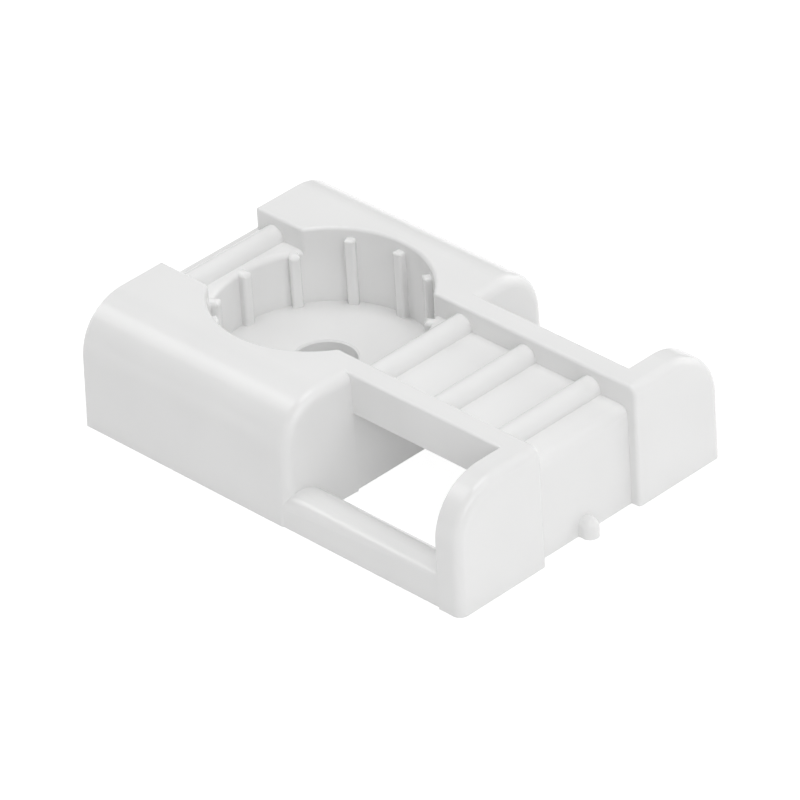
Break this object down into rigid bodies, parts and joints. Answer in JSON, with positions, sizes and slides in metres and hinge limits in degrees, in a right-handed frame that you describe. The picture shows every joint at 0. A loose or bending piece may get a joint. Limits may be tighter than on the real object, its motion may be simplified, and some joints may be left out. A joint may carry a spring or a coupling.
{
  "type": "cable tie mount",
  "caption": "Moulded surface mount for cable ties: a ribbed channel carries the cables, a tie threads under its bridge, and a ribbed round pocket with a nail hole fixes it to the wall.",
  "frame": {"origin": "on the axis of the nail hole, in the plane of the flat base", "axes": "+X along the cable channel from the pocket to the end wall, +Y across it, +Z away from the wall that the mount is fixed to"},
  "size_m": [0.0427, 0.0296, 0.011],
  "materials": {
    "body_plastic": "off-white, semi-gloss as moulded"
  },
  "bodies": {
    "root": {"mount_body": "body_plastic"}
  },
  "joints": []
}
